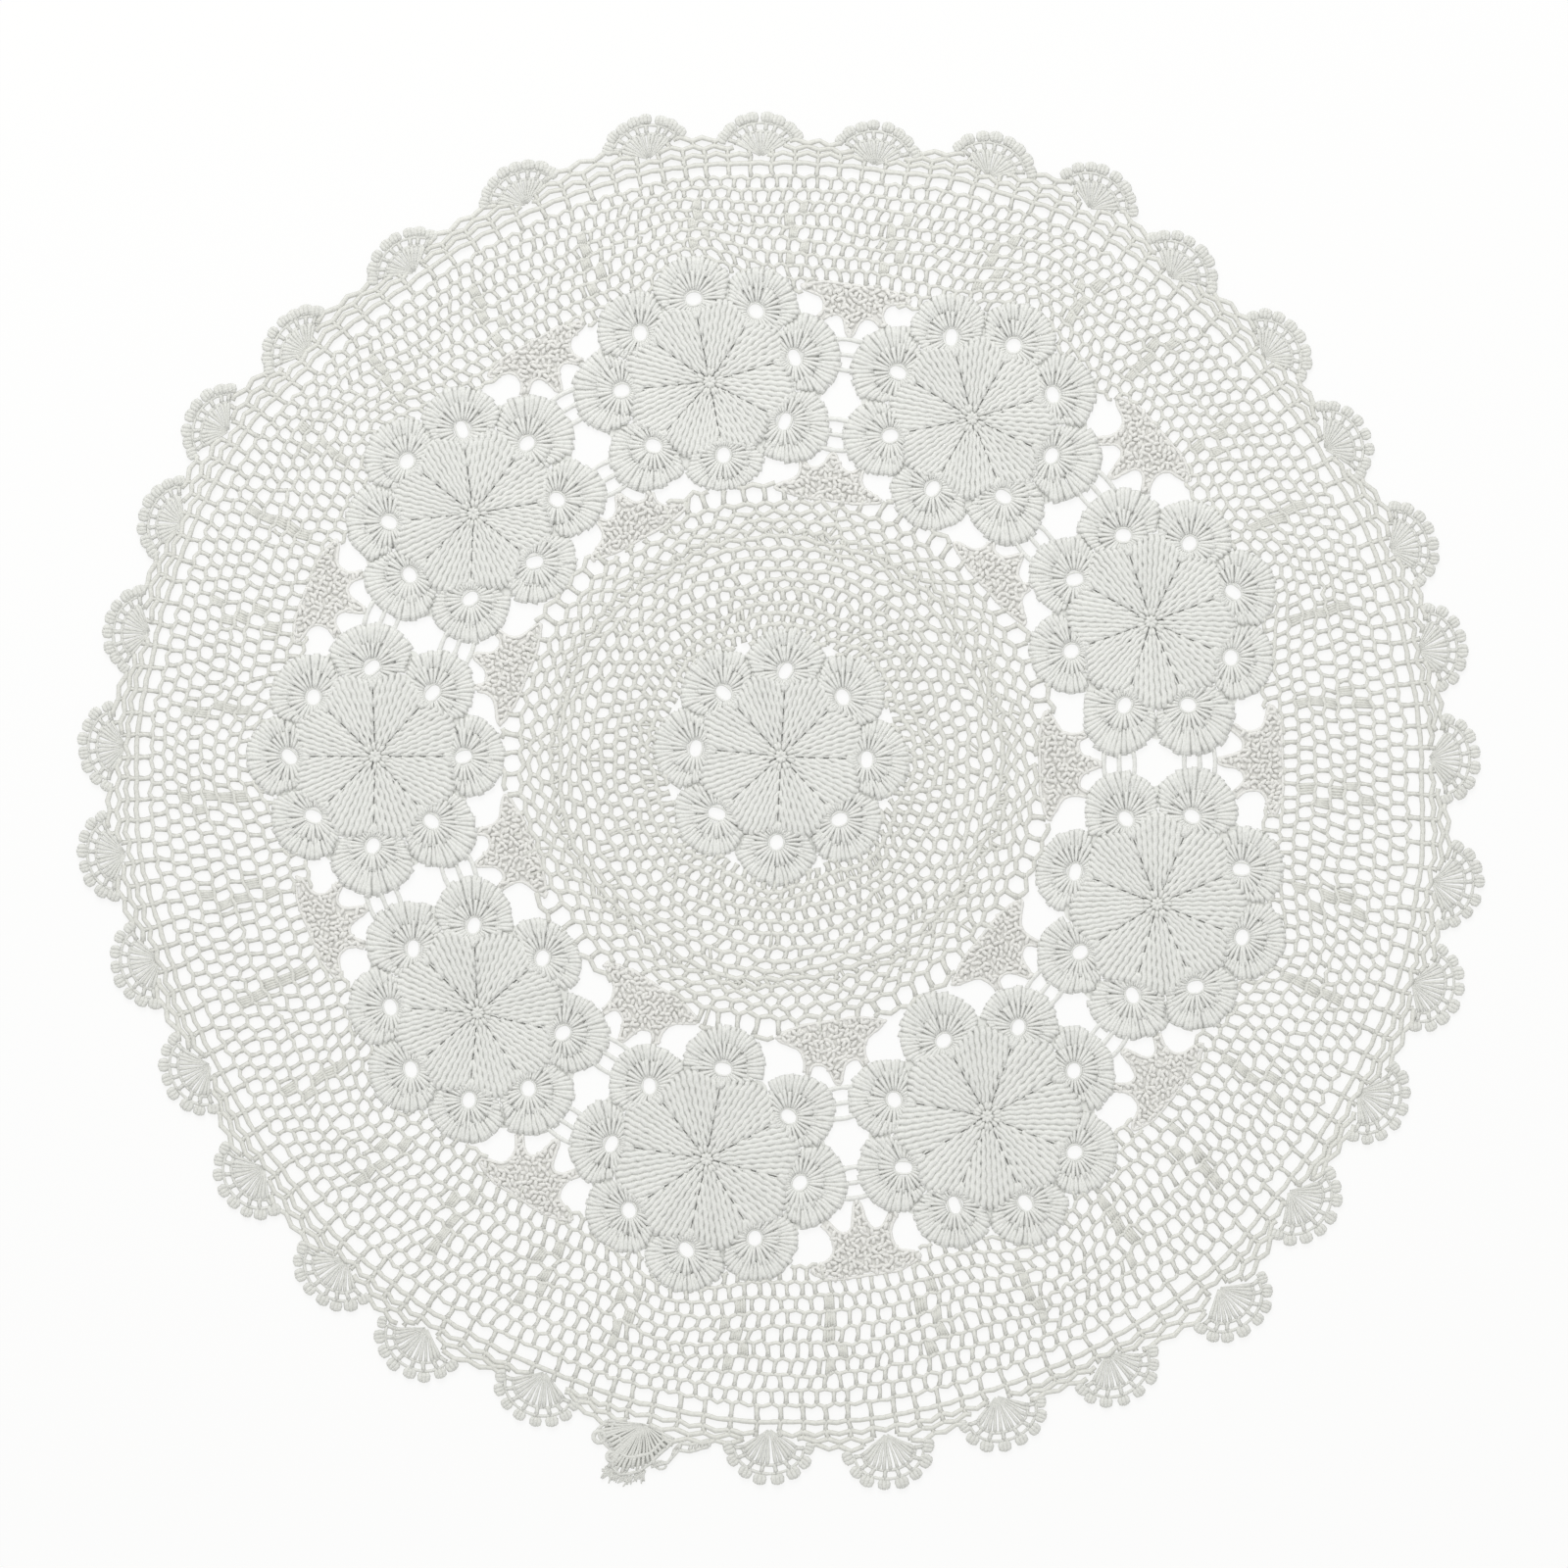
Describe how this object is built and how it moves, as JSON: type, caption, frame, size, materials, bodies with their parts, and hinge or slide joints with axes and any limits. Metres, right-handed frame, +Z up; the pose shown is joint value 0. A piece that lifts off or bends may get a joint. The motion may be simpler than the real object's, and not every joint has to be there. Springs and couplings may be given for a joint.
{
  "type": "round lace tablecloth",
  "caption": "Round crochet lace tablecloth lying flat: petalled flower motifs joined in a ring by fillers, set in openwork net with a scalloped fan edging.",
  "frame": {"origin": "on the surface it lies on, under the middle of the cloth's box", "axes": "+Z up off the surface, +Y towards the side where the net is narrowest, +X to the right of it"},
  "size_m": [0.8052, 0.7878, 0.0034],
  "materials": {
    "cotton_yarn": "matt mercerised cotton crochet, white"
  },
  "bodies": {
    "root": {"centre_flower": "cotton_yarn", "inner_net": "cotton_yarn", "ring_flower_1": "cotton_yarn", "ring_flower_2": "cotton_yarn", "ring_flower_3": "cotton_yarn", "ring_flower_4": "cotton_yarn", "ring_flower_5": "cotton_yarn", "ring_flower_6": "cotton_yarn", "ring_flower_7": "cotton_yarn", "ring_flower_8": "cotton_yarn", "ring_flower_9": "cotton_yarn", "outer_filler_1": "cotton_yarn", "outer_filler_2": "cotton_yarn", "outer_filler_3": "cotton_yarn", "outer_filler_4": "cotton_yarn", "outer_filler_5": "cotton_yarn", "outer_filler_6": "cotton_yarn", "outer_filler_7": "cotton_yarn", "outer_filler_8": "cotton_yarn", "outer_filler_9": "cotton_yarn", "inner_filler_1": "cotton_yarn", "inner_filler_2": "cotton_yarn", "inner_filler_3": "cotton_yarn", "inner_filler_4": "cotton_yarn", "inner_filler_5": "cotton_yarn", "inner_filler_6": "cotton_yarn", "inner_filler_7": "cotton_yarn", "inner_filler_8": "cotton_yarn", "inner_filler_9": "cotton_yarn", "outer_net": "cotton_yarn"}
  },
  "joints": []
}
